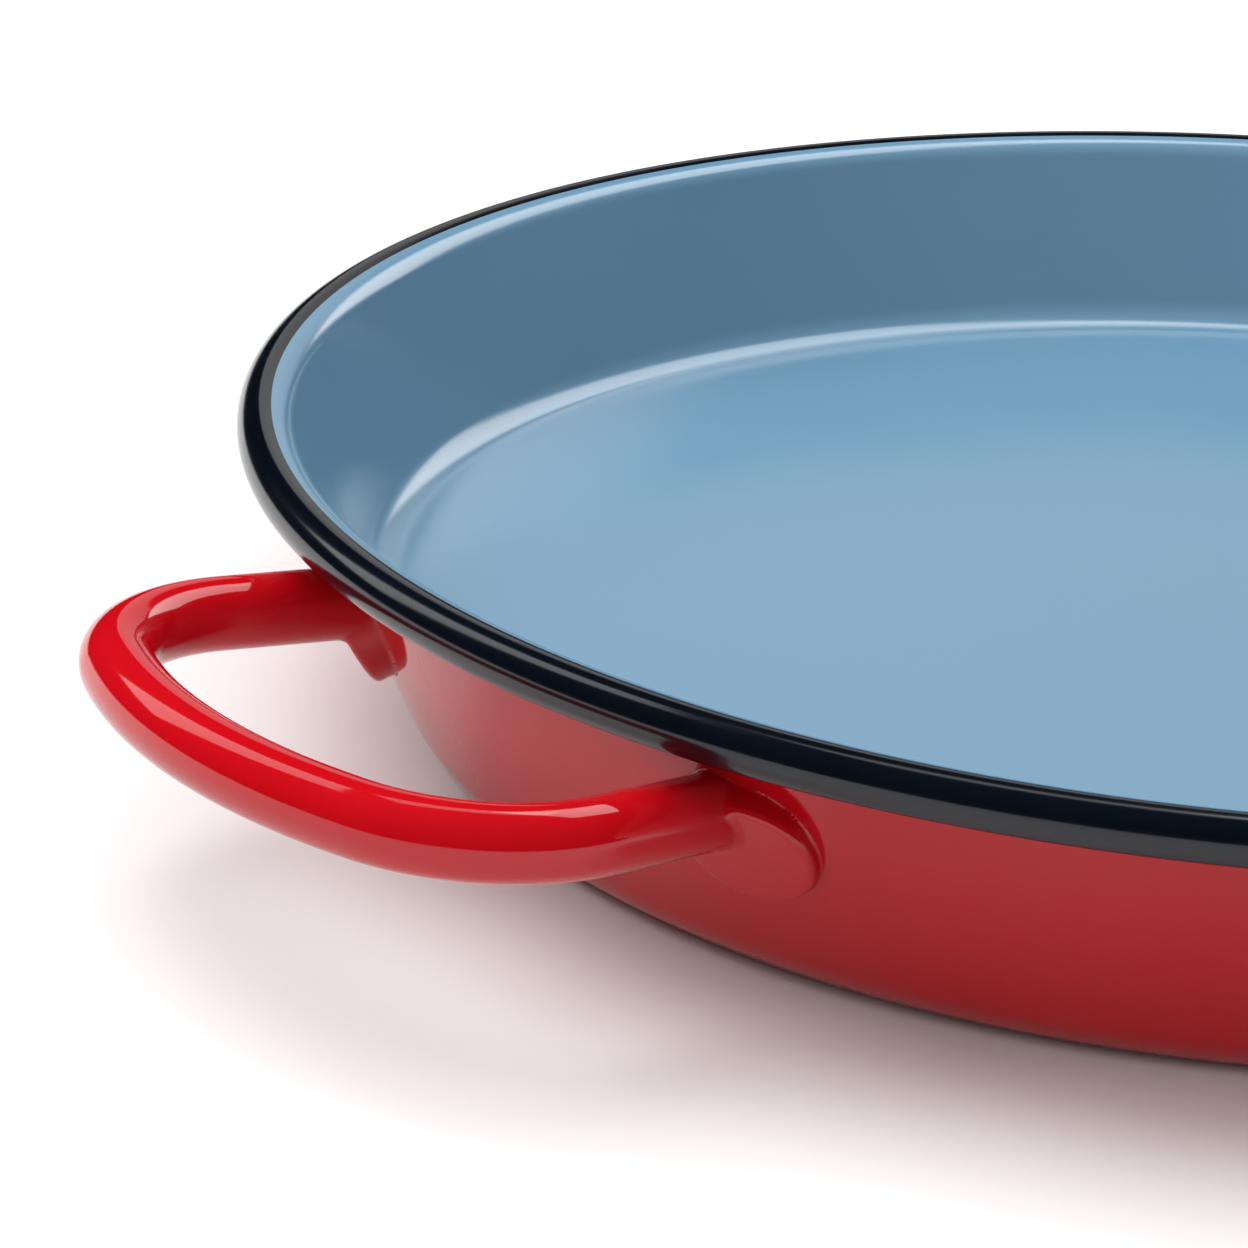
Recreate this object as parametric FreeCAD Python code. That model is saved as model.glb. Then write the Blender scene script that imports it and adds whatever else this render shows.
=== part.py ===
import FreeCAD, Part
import math
import os

os.makedirs("parts", exist_ok=True)
V = FreeCAD.Vector

# Pan, in mm and degrees. It stands on z = 0 and its two handles lie along X.
rim_radius = 150.6        # to the outer edge of the enamelled bead
pan_height = 44.5         # to the top of the bead
wall_angle = 65.0         # from the horizontal
base_fillet = 10.5        # outside radius between base and wall
inside_depth = 27.8       # from the top of the bead down to the blue floor
knee_radius = 6.0         # inside radius between that floor and the wall
sheet = 1.0               # pressed steel
coat = 0.25               # fired enamel, on each side
bead_radius = 3.3         # the rolled edge with its coat
shoulder_radius = 4.0     # where the inside wall turns out towards the bead
lip_angle = 15.0          # slope of the short lip between shoulder and bead
curl_gap = 0.62           # between the rolled edge and the wall behind it
curl_end = 195.0          # where the sheet stops on its way round the bead, from outwards
rim_coat_overlap = 0.6    # how far the dark rim coat comes in over the lip
seam_drop = 2.7           # from the bead's centre down to where the dark coat ends on the wall

# Loop handle: one solid rod with both ends pressed flat.
rod_diameter = 10.0       # with its coat
handle_reach = 36.5       # from the rim's edge out to the handle's tip
handle_station = 10.95    # in from the rim's edge, where handle_drop is taken
handle_drop = 12.47       # from the bead's centre down to the rod's axis
handle_tilt = 3.8         # rising outwards
bow_radius = 80.9         # long front bow, at the rod's axis
bow_half_angle = 20.3
corner_radius = 24.1
leg_splay = 6.0           # the legs draw together towards the pan
leg_length = 26.0         # runs on inside the wall's line, where it is trimmed off

# Foot: the end of each leg, pressed to a round wedge that lies on the wall.
foot_diameter = 17.5      # with its coat
foot_thickness = 3.1      # at its middle, with its coat
foot_offset = 44.54       # from the handle's middle across to the foot's centre
foot_turn = 10.5          # its face turns away from the handle's middle, thinner that side
foot_dip = 5.0            # and faces further down than the wall does
foot_drop = 4.2           # from the rod's axis down to the foot's centre
foot_edge = 1.0           # rounding of its outer edge
weld_diameter = 4.5
weld_spacing = 7.0        # two welds to a foot, one above the other

# Sizes that follow from those above.
wall = math.radians(wall_angle)
lip = math.radians(lip_angle)
tilt = math.radians(handle_tilt)
thickness = sheet + 2 * coat
bead_centre = (rim_radius - bead_radius, pan_height - bead_radius)
wall_reach = bead_radius - coat - coat / math.sin(wall) + curl_gap
base_radius = (bead_centre[0] - wall_reach - base_fillet * math.sin(wall)
               - (bead_centre[1] - base_fillet * (1 - math.cos(wall))) / math.tan(wall))
outer_corner = ((base_radius, base_fillet), base_fillet)      # centre, radius at depth 0
wall_out = wall_angle - 90          # direction of the wall's outward normal
wall_in = wall_angle + 90
lip_up = lip_angle + 90


def polar(centre, radius, angle):
    a = math.radians(angle)
    return (centre[0] + radius * math.cos(a), centre[1] + radius * math.sin(a))


def line(p, q):
    return Part.makeLine(V(p[0], 0, p[1]), V(q[0], 0, q[1]))


def arc(centre, radius, start, end):
    through = [polar(centre, radius, a) for a in (start, (start + end) / 2, end)]
    return Part.Arc(*[V(x, 0, z) for x, z in through]).toShape()


def spin(edges):
    return Part.Face(Part.Wire(edges)).revolve(V(0, 0, 0), V(0, 0, 1), 360).removeSplitter()


# The pan's section is one line of straights and arcs, followed at a depth: 0 is the red
# outside, coat is the steel, thickness is the blue inside. Every arc keeps its centre.
# Above the base it is shared by the shell, which stands on outer_corner, and by the raised
# floor inside it, which turns at inner_corner. The space between the two floors is empty.
def wall_at(depth, z):
    x, low = polar(outer_corner[0], base_fillet - depth, wall_out)
    return (x + (z - low) / math.tan(wall), z)


knee_height = pan_height - inside_depth + knee_radius
inner_corner = (wall_at(thickness + knee_radius, knee_height), knee_radius + thickness)


def bead_at(depth, angle):
    return polar(bead_centre, bead_radius - thickness + depth, angle)


def lip_at(depth, back):
    return polar(bead_at(depth, lip_up), -back, lip_angle)


def meet(p, p_angle, q, q_angle):
    a, b = math.radians(p_angle), math.radians(q_angle)
    along = ((q[0] - p[0]) * math.sin(b) - (q[1] - p[1]) * math.cos(b)) / math.sin(b - a)
    return polar(p, along, p_angle)


centre_depth = thickness - shoulder_radius
shoulder_centre = meet(wall_at(centre_depth, 0), wall_angle,
                       lip_at(centre_depth, 0), lip_angle)


def shoulder_at(depth, angle):
    return polar(shoulder_centre, depth - centre_depth, angle)


def seam_at(depth):
    return polar(wall_at(coat, bead_centre[1] - seam_drop), depth - coat, wall_in)


places = ["axis", "base", "fillet", "seam", "wall", "shoulder", "join", "lip", "edge"]


def section(depth, first, last, corner):
    centre, radius = corner[0], corner[1] - depth
    floor = centre[1] - radius
    corners = [(0, floor), (centre[0], floor), polar(centre, radius, wall_out),
               seam_at(depth), shoulder_at(depth, wall_in), shoulder_at(depth, lip_up),
               lip_at(depth, rim_coat_overlap), lip_at(depth, 0), bead_at(depth, curl_end)]
    arcs = {
        "fillet": (centre, radius, -90, wall_out),
        "shoulder": (shoulder_centre, depth - centre_depth, wall_in, lip_up),
        "edge": (bead_centre, bead_radius - thickness + depth, lip_up, curl_end - 360)}
    steps = range(places.index(first), places.index(last))
    edges = [arc(*arcs[places[i + 1]]) if places[i + 1] in arcs
             else line(corners[i], corners[i + 1]) for i in steps]
    return edges, corners[steps[0]], corners[steps[-1] + 1]


def layer(outside, inside, first, last, corner=outer_corner):
    under, under_start, under_end = section(outside, first, last, corner)
    over, over_start, over_end = section(inside, first, last, corner)
    return spin(under + [line(under_end, over_end)] + over[::-1] + [line(over_start, under_start)])


def rim_coat():
    band = layer(sheet + coat, thickness, "join", "edge")
    closing = [bead_at(depth, curl_end) for depth in (thickness, sheet + coat, coat)]
    closing += [shoulder_at(coat, wall_in), seam_at(coat), seam_at(0)]
    ring = spin([line(p, q) for p, q in zip(closing, closing[1:] + closing[:1])])
    return band.fuse(ring).removeSplitter()


def raised_floor():
    centre, radius = inner_corner[0], inner_corner[1] - sheet - coat
    over, start, top = section(sheet + coat, "axis", "fillet", inner_corner)
    under = radius + sheet
    meets_shell = wall_out - math.degrees(math.acos(radius / under))
    bottom = (centre[0], centre[1] - under)
    return spin(over + [
        line(top, polar(centre, under, meets_shell)),
        arc(centre, under, meets_shell, -90),
        line(bottom, (0, bottom[1])),
        line((0, bottom[1]), start)])


def pan_outside():
    edges, start, end = section(0, "axis", "wall", outer_corner)
    top = (0, end[1])
    return spin(edges + [line(end, top), line(top, start)])


# The handle's plane rises outwards; a runs out from the loop's tip and v across.
tip = V(rim_radius + handle_reach - rod_diameter / 2, 0, 0)
tip.z = (bead_centre[1] - handle_drop
         + (tip.x - rim_radius + handle_station) * math.tan(tilt))
plane_up = V(-math.sin(tilt), 0, math.cos(tilt))


def in_plane(a, v):
    return V(a * math.cos(tilt), v, a * math.sin(tilt))


def around(angle):
    return in_plane(math.cos(math.radians(angle)), math.sin(math.radians(angle)))


def disc(centre, normal, radius):
    return Part.Face(Part.Wire(Part.makeCircle(radius, centre, normal)))


def bend(centre, centre_line, start, end, radius):
    first = disc(centre + around(start) * centre_line, around(start + 90), radius)
    return first.revolve(centre, plane_up, end - start)


def rod(radius):
    bow_centre = tip - around(0) * bow_radius
    pieces = [bend(bow_centre, bow_radius, -bow_half_angle, bow_half_angle, radius)]
    for side in (-1, 1):
        corner = bow_centre + around(side * bow_half_angle) * (bow_radius - corner_radius)
        turned = side * (90 + leg_splay)
        pieces.append(bend(corner, corner_radius, side * bow_half_angle, turned, radius))
        leg_start = corner + around(turned) * corner_radius
        direction = around(turned + side * 90)
        pieces.append(disc(leg_start, direction, radius).extrude(direction * leg_length))
    return pieces[0].fuse(pieces[1:]).removeSplitter()


foot_point = wall_at(0, bead_centre[1] - handle_drop - foot_drop)


def foot_frame(side):
    place = side * math.asin(foot_offset / foot_point[0])
    facing = place + math.radians(side * foot_turn)
    slope = math.radians(wall_angle - foot_dip)
    centre = V(foot_point[0] * math.cos(place), foot_point[0] * math.sin(place), foot_point[1])
    outward = V(math.sin(slope) * math.cos(facing), math.sin(slope) * math.sin(facing),
                -math.cos(slope))
    up = V(math.cos(slope) * math.cos(facing), math.cos(slope) * math.sin(facing),
           math.sin(slope))
    return centre, outward, up


def foot(side, radius, height):
    centre, outward, up = foot_frame(side)
    button = Part.makeCylinder(radius, 2 * height, centre - outward * height, outward)
    rim = [e for e in button.Edges
           if e.Closed and (e.CenterOfMass - centre).dot(outward) > 0]
    return button.makeFillet(foot_edge, rim)


def handle(skin):
    shape = rod(rod_diameter / 2 - skin)
    for side in (-1, 1):
        shape = shape.fuse(foot(side, foot_diameter / 2 - skin, foot_thickness - skin))
    return shape.cut(pan_outside()).removeSplitter()


def welds():
    nuggets = []
    for side in (-1, 1):
        centre, outward, up = foot_frame(side)
        for step in (-1, 1):
            start = centre + up * (step * weld_spacing / 2) - outward * thickness
            nuggets.append(Part.makeCylinder(weld_diameter / 2, 2 * thickness, start, outward))
    return nuggets


def turned_about(shape):
    copy = shape.copy()
    copy.rotate(V(0, 0, 0), V(0, 0, 1), 180)
    return copy


red_wall = layer(0, coat, "base", "seam")
right_welds = Part.makeCompound([nugget.common(red_wall) for nugget in welds()])
left_welds = turned_about(right_welds)
right_rod = handle(coat)
right_coat = handle(0).cut(right_rod)

nodes = {
    "pan_shell": layer(coat, sheet + coat, "axis", "edge"),
    "raised_floor": raised_floor(),
    "inner_enamel": layer(sheet + coat, thickness, "axis", "join", inner_corner),
    "wall_enamel": red_wall.cut(right_welds).cut(left_welds),
    "base_enamel": layer(0, coat, "axis", "base"),
    "rim_enamel": rim_coat(),
    "right_handle_rod": right_rod,
    "right_handle_enamel": right_coat,
    "right_handle_spot_welds": right_welds,
    "left_handle_rod": turned_about(right_rod),
    "left_handle_enamel": turned_about(right_coat),
    "left_handle_spot_welds": left_welds,
}

for name, shape in nodes.items():
    shape.exportStep("parts/" + name + ".step")
    box = shape.optimalBoundingBox()
    print("%-24s solids %d valid %s volume %.0f  X %.2f..%.2f  Y %.2f..%.2f  Z %.2f..%.2f" % (
        name, len(shape.Solids), shape.isValid(), shape.Volume,
        box.XMin, box.XMax, box.YMin, box.YMax, box.ZMin, box.ZMax))
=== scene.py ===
import bpy
import bmesh
import math
import numpy as np
from mathutils import Matrix, Vector


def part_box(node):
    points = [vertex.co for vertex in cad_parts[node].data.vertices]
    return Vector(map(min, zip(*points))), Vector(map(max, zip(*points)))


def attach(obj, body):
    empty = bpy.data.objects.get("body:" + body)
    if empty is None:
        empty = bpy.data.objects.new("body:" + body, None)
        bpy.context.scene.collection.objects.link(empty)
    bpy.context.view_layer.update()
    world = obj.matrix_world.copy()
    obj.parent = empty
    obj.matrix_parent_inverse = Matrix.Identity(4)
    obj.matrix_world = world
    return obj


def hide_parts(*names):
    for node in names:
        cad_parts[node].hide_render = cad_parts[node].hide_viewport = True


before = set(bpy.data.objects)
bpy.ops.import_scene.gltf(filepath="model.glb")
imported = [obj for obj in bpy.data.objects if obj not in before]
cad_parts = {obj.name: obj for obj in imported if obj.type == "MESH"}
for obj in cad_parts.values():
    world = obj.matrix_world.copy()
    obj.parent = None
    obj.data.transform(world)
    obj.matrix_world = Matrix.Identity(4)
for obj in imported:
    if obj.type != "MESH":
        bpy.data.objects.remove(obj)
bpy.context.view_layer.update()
mm = 0.001
print("frame loaded:", len(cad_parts), "nodes")


# Angles are in degrees, and a section is drawn as (radius, height) in mm.
def polar(centre, radius, angle):
    a = math.radians(angle)
    return (centre[0] + radius * math.cos(a), centre[1] + radius * math.sin(a))


def meet(p, pAngle, q, qAngle):     # where two lines cross, each given as a point and a slope
    a, b = math.radians(pAngle), math.radians(qAngle)
    along = ((q[0] - p[0]) * math.sin(b) - (q[1] - p[1]) * math.cos(b)) / math.sin(b - a)
    return polar(p, along, pAngle)


def linear(hexColour):
    parts = [int(hexColour[i:i + 2], 16) / 255 for i in (1, 3, 5)]
    return [c / 12.92 if c <= 0.04045 else ((c + 0.055) / 1.055) ** 2.4 for c in parts] + [1.0]


def addNode(tree, kind, settings=(), links=(), values=()):
    node = tree.nodes.new(kind)
    for name, value in dict(settings).items():
        setattr(node, name, value)
    for key, value in dict(values).items():
        node.inputs[key].default_value = value
    for key, source in dict(links).items():
        tree.links.new(source, node.inputs[key])
    return node


def newMaterial(name):
    material = bpy.data.materials.new(name)
    material.use_nodes = True
    material.node_tree.nodes.clear()
    return material, material.node_tree


# Vitreous enamel: ground glass sprayed on pressed steel and fired. The eye gets an even, deep
# colour under a wet gloss, with very faint orange peel and slow waves where the coat pooled.
redEnamel = dict(name="vitreousEnamelRed", thick="#AE0812", thin="#B70C18",
                 drift=45, wave=14, waveHeight=0.010, peel=2.4, peelHeight=0.0006,
                 roughness=(0.05, 0.09), ior=1.52)
blueEnamel = dict(name="vitreousEnamelBlueGrey", thick="#5C849E", thin="#638AA3",
                  drift=60, wave=18, waveHeight=0.012, peel=2.6, peelHeight=0.0012,
                  roughness=(0.16, 0.22), ior=1.8)   # titania-opacified, so it mirrors more
navyEnamel = dict(name="vitreousEnamelNavy", thick="#04080E", thin="#080E17",
                  drift=30, wave=11, waveHeight=0.006, peel=2.0, peelHeight=0.0005,
                  roughness=(0.12, 0.17), ior=1.52)


noiseSpread = (0.35, 0.65)      # where most of a noise texture's values lie


def firedEnamel(look):
    material, tree = newMaterial(look["name"])
    place = addNode(tree, "ShaderNodeTexCoord").outputs["Object"]
    drift = addNode(tree, "ShaderNodeTexNoise", links={"Vector": place},
                    values={"Scale": 1 / (look["drift"] * mm), "Detail": 3.0, "Roughness": 0.55})
    colour = addNode(tree, "ShaderNodeMix", {"data_type": "RGBA"}, {0: drift.outputs["Fac"]},
                     {6: linear(look["thick"]), 7: linear(look["thin"])})
    gloss = addNode(tree, "ShaderNodeMapRange", links={"Value": drift.outputs["Fac"]},
                    values={"From Min": noiseSpread[0], "From Max": noiseSpread[1],
                            "To Min": look["roughness"][0], "To Max": look["roughness"][1]})
    wave = addNode(tree, "ShaderNodeTexNoise", links={"Vector": place},
                   values={"Scale": 1 / (look["wave"] * mm), "Detail": 1.0})
    peel = addNode(tree, "ShaderNodeTexNoise", links={"Vector": place},
                   values={"Scale": 1 / (look["peel"] * mm), "Detail": 2.0})
    waves = addNode(tree, "ShaderNodeBump", links={"Height": wave.outputs["Fac"]},
                    values={"Strength": 1.0, "Distance": look["waveHeight"] * mm})
    peeled = addNode(tree, "ShaderNodeBump",
                     links={"Height": peel.outputs["Fac"], "Normal": waves.outputs["Normal"]},
                     values={"Strength": 1.0, "Distance": look["peelHeight"] * mm})
    shader = addNode(tree, "ShaderNodeBsdfPrincipled",
                     links={"Base Color": colour.outputs[2], "Roughness": gloss.outputs["Result"],
                            "Normal": peeled.outputs["Normal"]},
                     values={"IOR": look["ior"]})
    addNode(tree, "ShaderNodeOutputMaterial", links={"Surface": shader.outputs["BSDF"]})
    return material


# Low-carbon steel as the mill rolls it, pickled before enamelling: dull grey with a fine
# grain and darker clouds. It is sealed under the glass.
bareSteel = dict(name="pickledLowCarbonSteel", light="#9A9C9F", dark="#6F7174",
                 cloud=18, grain=0.6, grainHeight=0.004, roughness=(0.36, 0.55))


def pickledSteel(look):
    material, tree = newMaterial(look["name"])
    place = addNode(tree, "ShaderNodeTexCoord").outputs["Object"]
    cloud = addNode(tree, "ShaderNodeTexNoise", links={"Vector": place},
                    values={"Scale": 1 / (look["cloud"] * mm), "Detail": 5.0})
    colour = addNode(tree, "ShaderNodeMix", {"data_type": "RGBA"}, {0: cloud.outputs["Fac"]},
                     {6: linear(look["dark"]), 7: linear(look["light"])})
    dull = addNode(tree, "ShaderNodeMapRange", links={"Value": cloud.outputs["Fac"]},
                   values={"To Min": look["roughness"][0], "To Max": look["roughness"][1]})
    grain = addNode(tree, "ShaderNodeTexNoise", links={"Vector": place},
                    values={"Scale": 1 / (look["grain"] * mm), "Detail": 2.0})
    rough = addNode(tree, "ShaderNodeBump", links={"Height": grain.outputs["Fac"]},
                    values={"Strength": 1.0, "Distance": look["grainHeight"] * mm})
    shader = addNode(tree, "ShaderNodeBsdfPrincipled",
                     links={"Base Color": colour.outputs[2], "Roughness": dull.outputs["Result"],
                            "Normal": rough.outputs["Normal"]},
                     values={"Metallic": 1.0})
    addNode(tree, "ShaderNodeOutputMaterial", links={"Surface": shader.outputs["BSDF"]})
    return material


redFinish, blueFinish, navyFinish = [
    firedEnamel(look) for look in (redEnamel, blueEnamel, navyEnamel)]
steelFinish = pickledSteel(bareSteel)
for nodeName in ("pan_shell", "raised_floor", "left_handle_rod", "right_handle_rod",
                 "left_handle_spot_welds", "right_handle_spot_welds"):
    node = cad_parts[nodeName]
    node.data.materials.clear()
    node.data.materials.append(steelFinish)
print("finishes ready")

# The pan: each coat is its section, spun about the pan's axis.
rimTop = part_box("rim_enamel")[1]
pan = dict(
    rimRadius=rimTop.x / mm, height=rimTop.z / mm,
    wallAngle=65.0, baseFillet=10.5, insideDepth=27.8, kneeRadius=6.0,
    thickness=1.5, coat=0.25, beadRadius=3.3, wallReach=3.394,
    shoulderRadius=4.0, lipAngle=15.0, rimOverlap=0.6, seamDrop=2.7, curlEnd=195.0,
    spineRadius=100.0, stepsRound=720, stepsPerBend=14, easing=0.4, sharpAngle=32.0,
    welding=0.0008)
wallAngle, wallIn = pan["wallAngle"], pan["wallAngle"] + 90
lipAngle, lipUp = pan["lipAngle"], pan["lipAngle"] + 90
thickness, coat = pan["thickness"], pan["coat"]
steelTop = thickness - coat     # depths are measured inwards from the red outside
beadCentre = (pan["rimRadius"] - pan["beadRadius"], pan["height"] - pan["beadRadius"])
wallMark = (beadCentre[0] - pan["wallReach"], beadCentre[1])
floorHeight = pan["height"] - pan["insideDepth"]


def wallPoint(depth):
    return polar(wallMark, depth, wallIn)


def beadRadiusAt(depth):
    return pan["beadRadius"] - thickness + depth


def lipPoint(depth, back=0.0):      # back along the lip from where it runs onto the bead
    return polar(polar(beadCentre, beadRadiusAt(depth), lipUp), -back, lipAngle)


def seamPoint(depth):
    mark = (wallMark[0] - pan["seamDrop"] / math.tan(math.radians(wallAngle)),
            beadCentre[1] - pan["seamDrop"])
    return polar(mark, depth, wallIn)


# A corner is (point, bend radius).
def insideLine(depth):
    floor = (0, floorHeight - (thickness - depth))
    return [(floor, 0),
            (meet(floor, 0, wallPoint(depth), wallAngle), pan["kneeRadius"] + thickness - depth),
            (meet(wallPoint(depth), wallAngle, lipPoint(depth), lipAngle),
             pan["shoulderRadius"] - thickness + depth),
            (lipPoint(depth, pan["rimOverlap"]), 0)]


def outsideLine(depth):
    foot = meet((0, depth), 0, wallPoint(depth), wallAngle)
    bend = pan["baseFillet"] - depth
    start = foot[0] - bend * math.tan(math.radians(wallAngle / 2))
    return [((start, depth), 0), (foot, bend), (seamPoint(depth), 0)]


def beadLine(depth):    # a square drawn round the bead turns into its arc
    radius = beadRadiusAt(depth)
    corners = [(polar(beadCentre, radius * math.sqrt(2), lipUp - 45 - turn), radius)
               for turn in (0, 90, 180)]
    return [(lipPoint(depth, pan["rimOverlap"]), 0)] + corners


def curlPoint(depth):
    return polar(beadCentre, beadRadiusAt(depth), pan["curlEnd"])


def easedCorners(corners):     # adds a point where each bend starts and ends
    count = len(corners)
    eased = []
    for i, (point, bend) in enumerate(corners):
        here = Vector(point)
        before, after = Vector(corners[i - 1][0]), Vector(corners[(i + 1) % count][0])
        reach = 0.0
        if bend:
            reach = bend * math.tan((after - here).angle(here - before) / 2) + pan["easing"]
        for side, other in ((0, before), (1, after)):
            if side == 1:
                eased.append((point, bend))
            neighbour = corners[i - 1 if side == 0 else (i + 1) % count]
            gap = (other - here).length
            if bend and gap > reach + pan["easing"] + neighbour[1]:
                spot = here + (other - here).normalized() * reach
                eased.append((tuple(spot), 0.0))
    return eased


def sectionMesh(name, corners, closed):
    points = easedCorners(corners)
    mesh = bpy.data.meshes.new(name)
    count = len(points)
    spine = pan["spineRadius"]
    edges = [(i, (i + 1) % count) for i in range(count if closed else count - 1)]
    # on a level circle a profile's x runs outwards and its y runs down
    mesh.from_pydata([((x - spine) * mm, -z * mm, 0) for (x, z), bend in points], edges, [])
    bends = mesh.attributes.new("bend", "FLOAT", "POINT")
    bends.data.foreach_set("value", [bend * mm for place, bend in points])
    return mesh


def spunCoatTree():
    tree = bpy.data.node_groups.new("spunCoat", "GeometryNodeTree")
    for name, way, kind in (("Section", "INPUT", "Geometry"), ("Spine Radius", "INPUT", "Float"),
                            ("Steps Round", "INPUT", "Int"), ("Steps per Bend", "INPUT", "Int"),
                            ("Sharp Angle", "INPUT", "Float"), ("Welding Distance", "INPUT", "Float"),
                            ("Finish", "INPUT", "Material"), ("Coat", "OUTPUT", "Geometry")):
        tree.interface.new_socket(name, in_out=way, socket_type="NodeSocket" + kind)
    given = addNode(tree, "NodeGroupInput").outputs
    bend = addNode(tree, "GeometryNodeInputNamedAttribute", {"data_type": "FLOAT"},
                   values={"Name": "bend"})
    corners = addNode(tree, "GeometryNodeMeshToCurve", links={"Mesh": given["Section"]})
    rounded = addNode(tree, "GeometryNodeFilletCurve", {"mode": "POLY"},
                      {"Curve": corners.outputs["Curve"], "Count": given["Steps per Bend"],
                       "Radius": bend.outputs["Attribute"]})
    circle = addNode(tree, "GeometryNodeCurvePrimitiveCircle", {"mode": "RADIUS"},
                     {"Resolution": given["Steps Round"], "Radius": given["Spine Radius"]})
    level = addNode(tree, "GeometryNodeSetCurveNormal", {"mode": "Z_UP"},
                    {"Curve": circle.outputs["Curve"]})
    spun = addNode(tree, "GeometryNodeCurveToMesh",
                   links={"Curve": level.outputs["Curve"], "Profile Curve": rounded.outputs["Curve"]})
    welded = addNode(tree, "GeometryNodeMergeByDistance",
                     links={"Geometry": spun.outputs["Mesh"], "Distance": given["Welding Distance"]})
    smooth = addNode(tree, "GeometryNodeSetShadeSmooth", {"domain": "FACE"},
                     {"Geometry": welded.outputs["Geometry"]})
    angle = addNode(tree, "GeometryNodeInputMeshEdgeAngle")
    sharp = addNode(tree, "FunctionNodeCompare", {"data_type": "FLOAT", "operation": "GREATER_THAN"},
                    {0: angle.outputs["Unsigned Angle"], 1: given["Sharp Angle"]})
    creased = addNode(tree, "GeometryNodeSetShadeSmooth", {"domain": "EDGE"},
                      {"Geometry": smooth.outputs["Geometry"], "Selection": sharp.outputs["Result"]},
                      {"Shade Smooth": False})
    real = addNode(tree, "GeometryNodeRealizeInstances", links={"Geometry": creased.outputs["Geometry"]})
    finished = addNode(tree, "GeometryNodeSetMaterial",
                       links={"Geometry": real.outputs["Geometry"], "Material": given["Finish"]})
    addNode(tree, "NodeGroupOutput", links={"Coat": finished.outputs["Geometry"]})
    return tree


coatTree = spunCoatTree()


def keptPiece(name, mesh, nodeName):
    mesh.name = name
    piece = bpy.data.objects.new(name, mesh)
    bpy.context.scene.collection.objects.link(piece)
    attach(piece, "root")
    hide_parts(nodeName)
    return piece


def spunCoat(name, corners, closed, finish, nodeName):
    blank = bpy.data.objects.new(name + "Section", sectionMesh(name + "Section", corners, closed))
    bpy.context.scene.collection.objects.link(blank)
    modifier = blank.modifiers.new("spunCoat", "NODES")
    modifier.node_group = coatTree
    sockets = {item.name: item.identifier for item in coatTree.interface.items_tree}
    for label, value in (("Spine Radius", pan["spineRadius"] * mm), ("Steps Round", pan["stepsRound"]),
                         ("Steps per Bend", pan["stepsPerBend"]), ("Finish", finish),
                         ("Sharp Angle", math.radians(pan["sharpAngle"])),
                         ("Welding Distance", pan["welding"] * mm)):
        modifier[sockets[label]] = value
    evaluated = blank.evaluated_get(bpy.context.evaluated_depsgraph_get())
    mesh = bpy.data.meshes.new_from_object(evaluated)
    blank.modifiers.clear()
    bpy.data.objects.remove(blank)
    work = bmesh.new()
    work.from_mesh(mesh)
    bmesh.ops.dissolve_degenerate(work, dist=pan["welding"] * mm / 4, edges=work.edges)
    bmesh.ops.recalc_face_normals(work, faces=work.faces)
    work.to_mesh(mesh)
    loose = [e for e in work.edges if len(e.link_faces) != 2]
    print(name, len(mesh.vertices), "points", len(loose), "open edges")
    work.free()
    for attribute in list(mesh.attributes):
        if attribute.name == "bend":
            mesh.attributes.remove(attribute)
    return keptPiece(name, mesh, nodeName)


spunCoat("innerEnamel", insideLine(thickness) + insideLine(steelTop)[::-1], False,
         blueFinish, "inner_enamel")
spunCoat("wallEnamel", outsideLine(0) + outsideLine(coat)[::-1], True,
         redFinish, "wall_enamel")
flat = outsideLine(0)[0][0][0]
spunCoat("baseEnamel", [((0, 0), 0), ((flat, 0), 0), ((flat, coat), 0), ((0, coat), 0)], False,
         redFinish, "base_enamel")
closing = [(curlPoint(thickness), 0), (seamPoint(0), 0), (seamPoint(coat), 0),
           (meet(wallPoint(coat), wallAngle, lipPoint(coat), lipAngle), 0),
           (curlPoint(coat), 0), (curlPoint(steelTop), 0)]
spunCoat("rimEnamel", beadLine(thickness) + closing + beadLine(steelTop)[::-1], True,
         navyFinish, "rim_enamel")
print("coats spun")

# The handles: a field of distances, in mm, meshed and then pulled exactly onto its surface.
handle = dict(
    rodRadius=5.0, tip=(182.10, 31.55), tilt=3.8, bowRadius=80.9, bowHalfAngle=20.3,
    cornerRadius=24.1, legSplay=6.0, legLength=26.0,
    footRadius=8.75, footThickness=3.1, footOffset=44.54, footCentre=24.53,
    footEdge=1.0, footTurn=10.5, footDip=5.0, weldFillet=0.9, meniscus=0.55,
    meniscusReach=1.5, sunk=0.05, backDepth=0.2, voxel=0.36, margin=1.2,
    pulls=4, longestPull=0.3, leastSteepness=0.25)


def rotated(x, y, angle):
    c, s = math.cos(angle), math.sin(angle)
    return x * c + y * s, y * c - x * s


def arcDistance(x, y, radius, start, end):     # to an arc about the origin, in its own plane
    angle = np.clip(np.arctan2(y, x), start, end)
    return np.hypot(x - radius * np.cos(angle), y - radius * np.sin(angle))


def filletUnion(a, b, radius):
    u, v = np.maximum(radius - a, 0), np.maximum(radius - b, 0)
    return np.maximum(radius, np.minimum(a, b)) - np.hypot(u, v)


wallTan = math.tan(math.radians(wallAngle))
wallSin = math.sin(math.radians(wallAngle))


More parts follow.
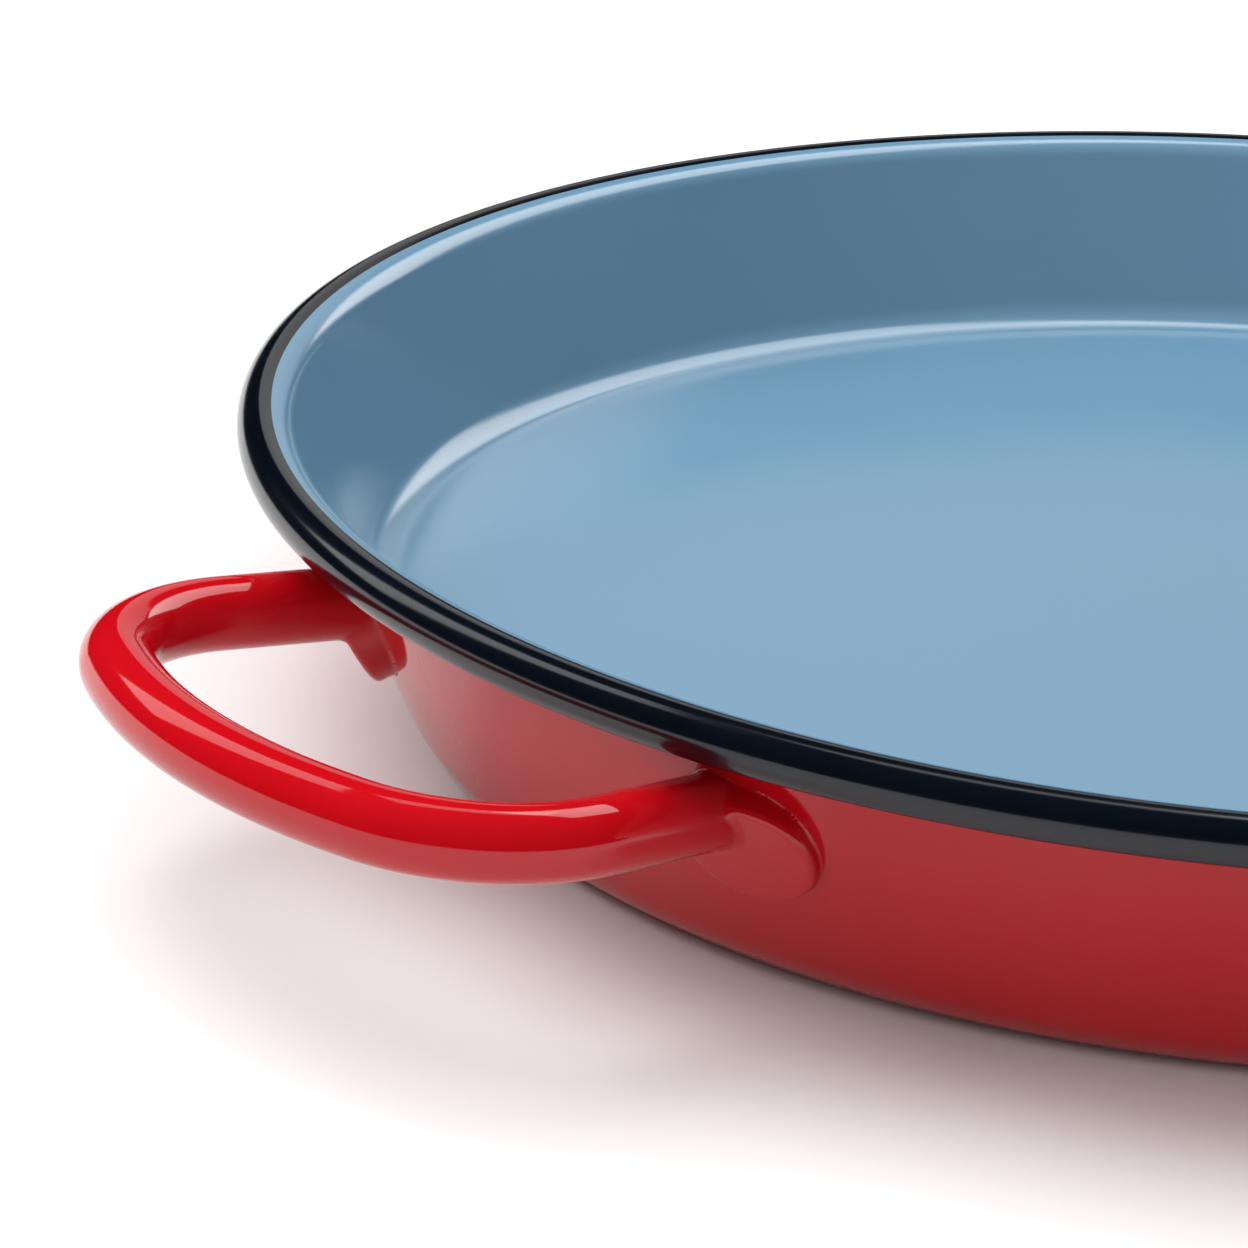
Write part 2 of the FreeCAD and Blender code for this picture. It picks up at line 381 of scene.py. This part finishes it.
def handleField(p):
    x, y, z = p[..., 0], np.abs(p[..., 1]), p[..., 2]      # the two halves mirror each other
    tilt = math.radians(handle["tilt"])
    a = (x - handle["tip"][0]) * math.cos(tilt) + (z - handle["tip"][1]) * math.sin(tilt)
    h = (z - handle["tip"][1]) * math.cos(tilt) - (x - handle["tip"][0]) * math.sin(tilt)
    bowEnd = math.radians(handle["bowHalfAngle"])
    turned = math.radians(90 + handle["legSplay"])
    bowX = -handle["bowRadius"]
    flat = arcDistance(a - bowX, y, handle["bowRadius"], -bowEnd, bowEnd)
    inward = handle["bowRadius"] - handle["cornerRadius"]
    cornerX, cornerY = bowX + inward * math.cos(bowEnd), inward * math.sin(bowEnd)
    corner = arcDistance(a - cornerX, y - cornerY, handle["cornerRadius"], bowEnd, turned)
    flat = np.minimum(flat, corner)
    legX = cornerX + handle["cornerRadius"] * math.cos(turned)
    legY = cornerY + handle["cornerRadius"] * math.sin(turned)
    along, off = rotated(a - legX, y - legY, turned + math.pi / 2)
    flat = np.minimum(flat, np.hypot(along - np.clip(along, 0, handle["legLength"]), off))
    rod = np.hypot(flat, h) - handle["rodRadius"]

    footReach = wallMark[0] - (wallMark[1] - handle["footCentre"]) / wallTan
    place = math.asin(handle["footOffset"] / footReach)
    out, side = rotated(x - footReach * math.cos(place), y - footReach * math.sin(place),
                        place + math.radians(handle["footTurn"]))
    lift, slope = rotated(out, z - handle["footCentre"],
                          math.radians(wallAngle - 90 - handle["footDip"]))
    edge = handle["footEdge"]
    ring = np.hypot(slope, side) - (handle["footRadius"] - edge)
    face = np.abs(lift) - (handle["footThickness"] - edge)
    foot = (np.minimum(np.maximum(ring, face), 0)
            + np.hypot(np.maximum(ring, 0), np.maximum(face, 0)) - edge)
    loop = filletUnion(rod, foot, handle["weldFillet"])
    wall = (np.hypot(x, y) - wallMark[0] - (z - wallMark[1]) / wallTan) * wallSin + handle["sunk"]
    skin = filletUnion(loop, wall, handle["meniscus"])
    skin = np.maximum(skin, loop - handle["meniscus"] * handle["meniscusReach"])
    return np.maximum(skin, -wall - handle["backDepth"])


def fieldMesh(field, low, high, step):      # one point in each cell that the surface crosses
    counts = [int(math.ceil((b - a) / step)) + 1 for a, b in zip(low, high)]
    axes = [a + step * np.arange(n) for a, n in zip(low, counts)]
    grid = np.stack(np.meshgrid(*axes, indexing="ij"), axis=-1)
    value = field(grid)
    inside = value < 0
    cells = tuple(n - 1 for n in counts)
    total, hits = np.zeros(cells + (3,)), np.zeros(cells)
    for axis in range(3):
        first = [slice(0, -1) if i == axis else slice(None) for i in range(3)]
        last = [slice(1, None) if i == axis else slice(None) for i in range(3)]
        v0, v1 = value[tuple(first)], value[tuple(last)]
        crossing = (v0 < 0) != (v1 < 0)
        share = np.where(crossing, v0 / np.where(crossing, v0 - v1, 1), 0)
        spot = grid[tuple(first)].copy()
        spot[..., axis] += share * step
        others = [i for i in range(3) if i != axis]
        for shiftA in (0, 1):
            for shiftB in (0, 1):
                pick = [slice(None)] * 3
                for i, shift in zip(others, (shiftA, shiftB)):
                    pick[i] = slice(shift, shift + cells[i])
                hit = crossing[tuple(pick)]
                hits += hit
                total += spot[tuple(pick)] * hit[..., None]
    used = hits > 0
    number = -np.ones(cells, int)
    number[used] = np.arange(used.sum())
    points = total[used] / hits[used][:, None]
    quads = []
    for axis in range(3):
        b, c = [(1, 2), (2, 0), (0, 1)][axis]
        first = [slice(0, -1) if i == axis else slice(None) for i in range(3)]
        last = [slice(1, None) if i == axis else slice(None) for i in range(3)]
        starts, ends = inside[tuple(first)], inside[tuple(last)]
        place = np.argwhere(starts != ends)
        going = starts[starts != ends]
        corners = []
        for db, dc in ((0, 0), (-1, 0), (-1, -1), (0, -1)):
            cell = place.copy()
            cell[:, b] += db
            cell[:, c] += dc
            corners.append(number[cell[:, 0], cell[:, 1], cell[:, 2]])
        quad = np.stack(corners, axis=1)
        quad[~going] = quad[~going][:, ::-1]
        quads.append(quad)
    return points, np.concatenate(quads)


def slopeOf(field, points, reach=0.004):
    parts = []
    for axis in range(3):
        nudge = np.zeros(3)
        nudge[axis] = reach
        parts.append((field(points + nudge) - field(points - nudge)) / (2 * reach))
    return np.stack(parts, axis=1)


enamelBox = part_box("right_handle_enamel")
low = [c / mm - handle["margin"] for c in enamelBox[0]]
high = [c / mm + handle["margin"] for c in enamelBox[1]]
points, quads = fieldMesh(handleField, low, high, handle["voxel"])
pull = handle["longestPull"]
for repeat in range(handle["pulls"]):
    slope = slopeOf(handleField, points)
    steep = np.maximum((slope ** 2).sum(axis=1), handle["leastSteepness"])
    points = points - np.clip(handleField(points) / steep, -pull, pull)[:, None] * slope
normals = slopeOf(handleField, points)
normals /= np.maximum(np.linalg.norm(normals, axis=1), 1e-9)[:, None]


def handleCoat(name, half, nodeName):
    mesh = bpy.data.meshes.new(name)
    mesh.from_pydata((points * (half, half, 1) * mm).tolist(), [], quads.tolist())
    mesh.materials.append(redFinish)
    mesh.shade_smooth()
    mesh.normals_split_custom_set_from_vertices((normals * (half, half, 1)).tolist())
    mesh.validate()
    print(name, len(mesh.vertices), "points", len(mesh.polygons), "faces")
    return keptPiece(name, mesh, nodeName)


handleCoat("rightHandleEnamel", 1, "right_handle_enamel")
handleCoat("leftHandleEnamel", -1, "left_handle_enamel")
print("handles meshed")

# Table, light and camera.
stage = dict(floorHalf=9.0, floorSquares=8, floorNoise=2.0,
             floorColour="#DDDDDD", floorMottle="#DADADA",
             roomColour="#FFFCFC", roomLow=0.12, roomHigh=1.72)


def stageFloor():
    material, tree = newMaterial("matPaperSweep")
    place = addNode(tree, "ShaderNodeTexCoord").outputs["Object"]
    mottle = addNode(tree, "ShaderNodeTexNoise", links={"Vector": place},
                     values={"Scale": stage["floorNoise"]})
    colour = addNode(tree, "ShaderNodeMix", {"data_type": "RGBA"}, {0: mottle.outputs["Fac"]},
                     {6: linear(stage["floorMottle"]), 7: linear(stage["floorColour"])})
    shader = addNode(tree, "ShaderNodeBsdfPrincipled", links={"Base Color": colour.outputs[2]},
                     values={"Roughness": 1.0, "Specular IOR Level": 0.0})
    addNode(tree, "ShaderNodeOutputMaterial", links={"Surface": shader.outputs["BSDF"]})
    work = bmesh.new()
    bmesh.ops.create_grid(work, x_segments=stage["floorSquares"], y_segments=stage["floorSquares"],
                          size=stage["floorHalf"])
    mesh = bpy.data.meshes.new("paperSweep")
    work.to_mesh(mesh)
    work.free()
    mesh.materials.append(material)
    floor = bpy.data.objects.new("paperSweep", mesh)
    bpy.context.scene.collection.objects.link(floor)


stageFloor()
softboxes = {       # direction from the pan, distance and size in metres, brightness
    "skyBox": dict(azimuth=124, elevation=54, distance=1.5, size=(1.2, 1.2),
                   radiance=3.9, lit="diffuse"),
    "keyBox": dict(azimuth=19, elevation=42, distance=1.2, size=(0.62, 1.25),
                   radiance=3.1, lit="glossy"),
    "leftBox": dict(azimuth=112, elevation=40, distance=1.2, size=(0.40, 0.75),
                    radiance=1.8, lit="glossy"),
    "topBox": dict(azimuth=62, elevation=68, distance=1.2, size=(0.60, 0.25),
                   radiance=1.4, lit="glossy"),
    "backCard": dict(azimuth=52, elevation=19, distance=1.4, size=(0.70, 0.50),
                     radiance=0.5, lit="glossy")}
for name, box in softboxes.items():
    data = bpy.data.lights.new(name, "AREA")
    data.shape = "RECTANGLE"
    data.size, data.size_y = box["size"]
    data.energy = box["radiance"] * math.pi * data.size * data.size_y
    lamp = bpy.data.objects.new(name, data)
    az, el = math.radians(box["azimuth"]), math.radians(box["elevation"])
    away = Vector((math.cos(az) * math.cos(el), math.sin(az) * math.cos(el), math.sin(el)))
    facing = away.to_track_quat("Z", "Y").to_matrix().to_4x4()
    lamp.matrix_world = Matrix.Translation(away * box["distance"]) @ facing
    lamp.visible_diffuse = box["lit"] == "diffuse"      # one box fills, the others only gleam
    lamp.visible_glossy = box["lit"] == "glossy"
    bpy.context.scene.collection.objects.link(lamp)
world = bpy.data.worlds.new("studio")
world.use_nodes = True
room = world.node_tree
direction = addNode(room, "ShaderNodeTexCoord").outputs["Generated"]
upwards = addNode(room, "ShaderNodeSeparateXYZ", links={"Vector": direction}).outputs["Z"]
overhead = addNode(room, "ShaderNodeMapRange", links={"Value": upwards},
                   values={"To Min": stage["roomLow"], "To Max": stage["roomHigh"]})
room.nodes["Background"].inputs["Color"].default_value = linear(stage["roomColour"])
room.links.new(overhead.outputs["Result"], room.nodes["Background"].inputs["Strength"])
bpy.context.scene.world = world
world.cycles_visibility.glossy = False      # the glaze mirrors the softboxes, not the room
bpy.context.scene.view_settings.view_transform = "Standard"

lens = dict(place=(-0.53787, -0.57277, 0.30455), azimuth=53.76, pitch=20.70, roll=2.49,
            focal=168.69, sensor=36.0)
az, down, roll = (math.radians(lens[k]) for k in ("azimuth", "pitch", "roll"))
ahead = Vector((math.cos(az) * math.cos(down), math.sin(az) * math.cos(down), -math.sin(down)))
across = ahead.cross(Vector((0, 0, 1))).normalized()
above = across.cross(ahead)
right = across * math.cos(roll) + above * math.sin(roll)
top = above * math.cos(roll) - across * math.sin(roll)
cameraData = bpy.data.cameras.new("camera")
cameraData.lens, cameraData.sensor_width = lens["focal"], lens["sensor"]
cameraData.clip_start, cameraData.clip_end = 0.01, 50
camera = bpy.data.objects.new("camera", cameraData)
camera.matrix_world = Matrix((right, top, -ahead)).transposed().to_4x4()
camera.matrix_world.translation = lens["place"]
bpy.context.scene.collection.objects.link(camera)
bpy.context.scene.camera = camera
print("stage ready")
